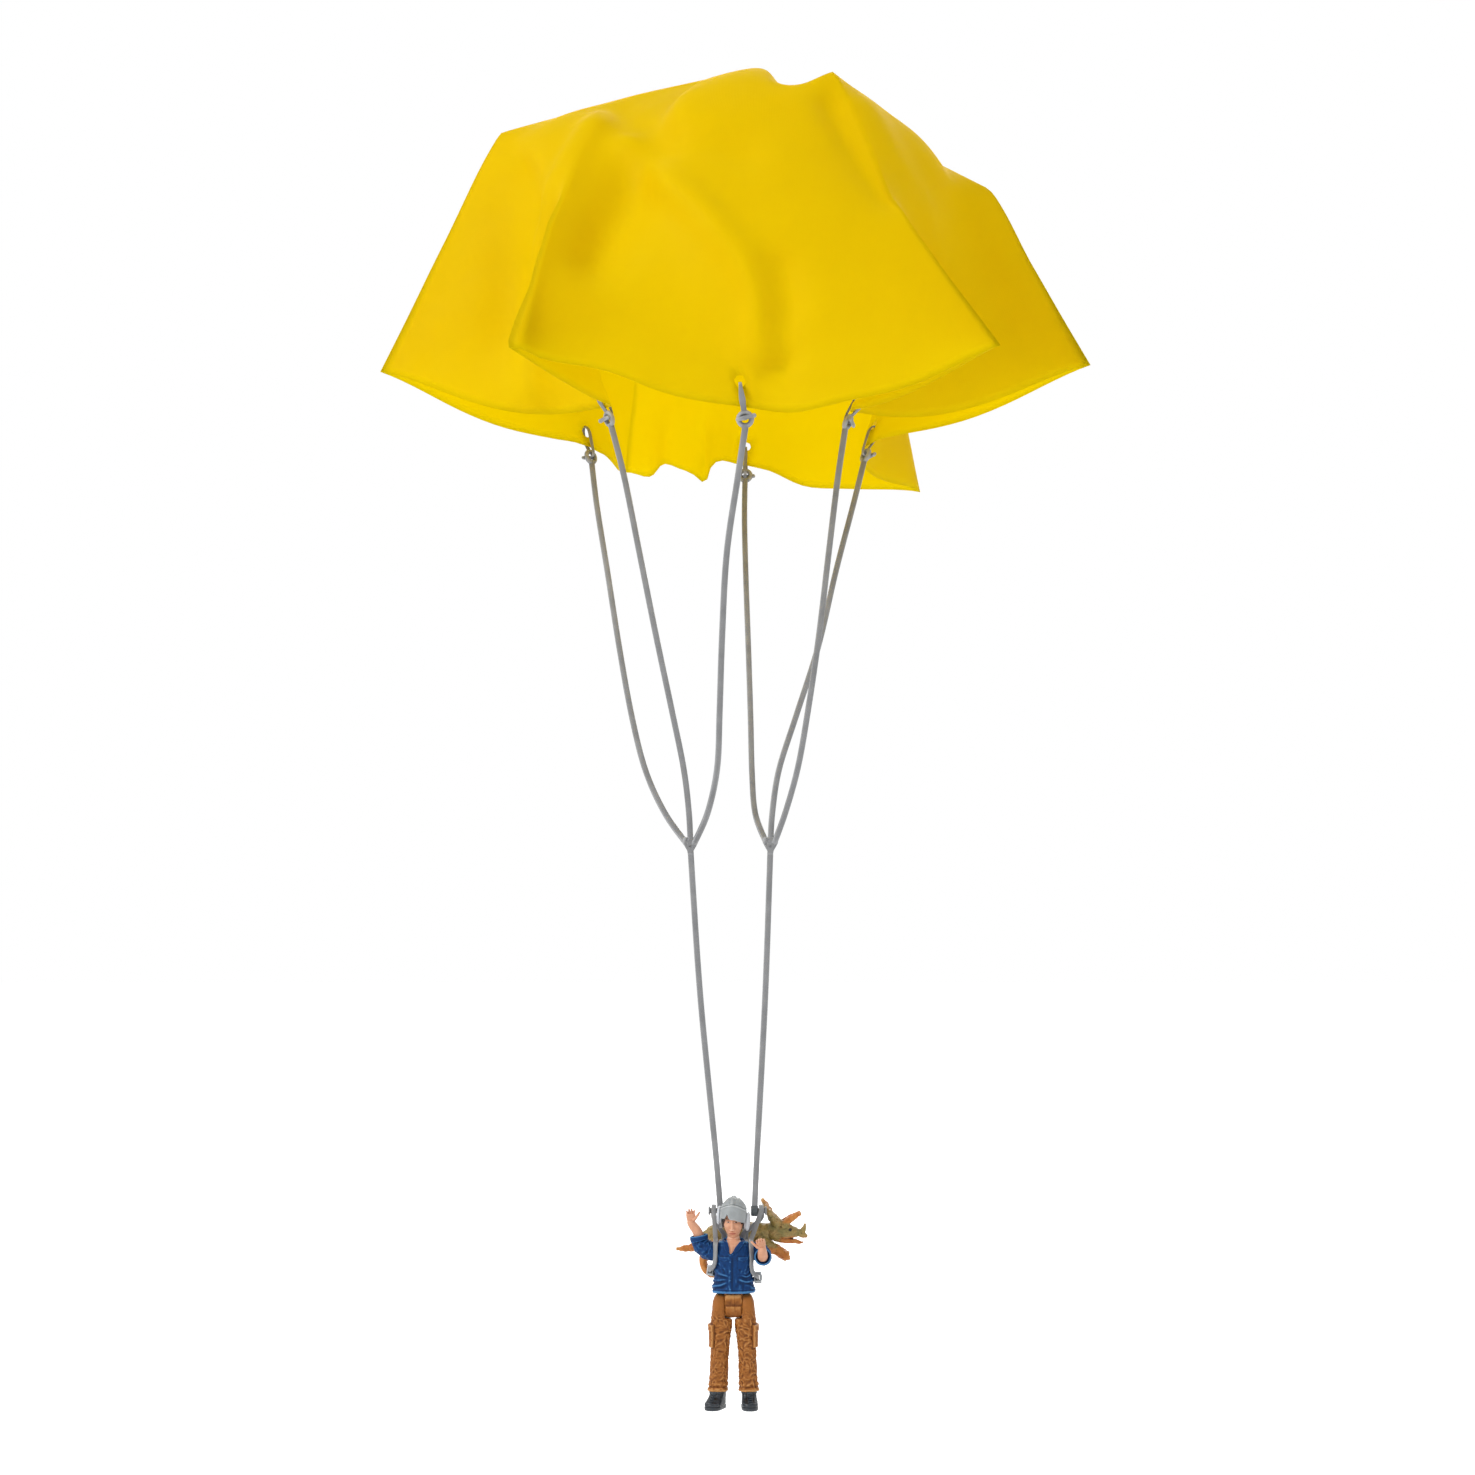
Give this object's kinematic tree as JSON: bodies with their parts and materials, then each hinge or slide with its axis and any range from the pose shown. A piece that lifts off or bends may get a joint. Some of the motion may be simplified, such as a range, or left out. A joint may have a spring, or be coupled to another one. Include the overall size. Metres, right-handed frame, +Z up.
{
  "type": "toy parachute",
  "caption": "Cloth canopy on two rubber risers that carry a jointed figure, its helmet and harness, and a small horned dinosaur.",
  "frame": {"origin": "crown of the canopy, where it is held up", "axes": "+Z up along the drop, -Y is the front that the figure faces, +X is the right-hand side in a front view"},
  "size_m": [0.3283, 0.2201, 0.6083],
  "materials": {
    "canopy_cloth": "thin woven cloth, slight sheen",
    "riser_rubber": "satin",
    "harness_rubber": "satin",
    "buckle_plastic": "satin",
    "shirt": "painted, matt",
    "trousers": "painted, matt",
    "axle_steel": "plain",
    "skin": "painted, matt",
    "helmet_shell": "painted, satin",
    "ear_cup_plastic": "painted, satin",
    "boots": "painted, satin",
    "dinosaur_hide": "painted, matt, speckled"
  },
  "bodies": {
    "canopy": {"canopy": "canopy_cloth", "branch_strap_left_back": "riser_rubber", "branch_strap_left_front": "riser_rubber", "branch_strap_front": "riser_rubber", "branch_strap_back": "riser_rubber", "branch_strap_right_back": "riser_rubber", "branch_strap_right_front": "riser_rubber", "trunk_strap_left": "riser_rubber", "trunk_strap_right": "riser_rubber"},
    "figure": {"backpack": "harness_rubber", "shoulder_strap_left": "harness_rubber", "shoulder_strap_right": "harness_rubber", "buckle_left": "buckle_plastic", "buckle_right": "buckle_plastic", "carrier_band_rear": "harness_rubber", "carrier_band_front": "harness_rubber", "dinosaur": "dinosaur_hide", "torso": "shirt", "pelvis": "trousers", "hip_axle": "axle_steel"},
    "head": {"head": "skin"},
    "helmet": {"helmet": "helmet_shell", "ear_cup_left": "ear_cup_plastic", "ear_cup_right": "ear_cup_plastic"},
    "arm_left": {"sleeve_left": "shirt", "forearm_left": "skin"},
    "arm_right": {"sleeve_right": "shirt", "forearm_right": "skin"},
    "leg_left": {"leg_left": "trousers", "boot_left": "boots"},
    "leg_right": {"leg_right": "trousers", "boot_right": "boots"}
  },
  "joints": [
    {"name": "harness_swing", "type": "hinge", "parent": "canopy", "child": "figure", "pos_m": [0, 0.009, -0.5235], "axis": [1, 0, 0], "range_deg": [-15, 40]},
    {"name": "neck_turn", "type": "hinge", "parent": "figure", "child": "head", "pos_m": [-0.0055, 0, -0.5353], "axis": [0, 0, 1], "range_deg": [-60, 60]},
    {"name": "helmet_lift", "type": "slide", "parent": "head", "child": "helmet", "axis": [0, 0, 1], "range_m": [0, 0.02]},
    {"name": "shoulder_left", "type": "hinge", "parent": "figure", "child": "arm_left", "pos_m": [-0.0143, 0.0005, -0.5403], "axis": [1, 0, 0], "range_deg": [-20, 150]},
    {"name": "shoulder_right", "type": "hinge", "parent": "figure", "child": "arm_right", "pos_m": [0.0033, 0.0005, -0.5403], "axis": [1, 0, 0], "range_deg": [-30, 60]},
    {"name": "hip_left", "type": "hinge", "parent": "figure", "child": "leg_left", "pos_m": [-0.0122, 0, -0.5639], "axis": [1, 0, 0], "range_deg": [-90, 30]},
    {"name": "hip_right", "type": "hinge", "parent": "figure", "child": "leg_right", "pos_m": [0.0012, 0, -0.5639], "axis": [1, 0, 0], "range_deg": [-90, 30]}
  ]
}
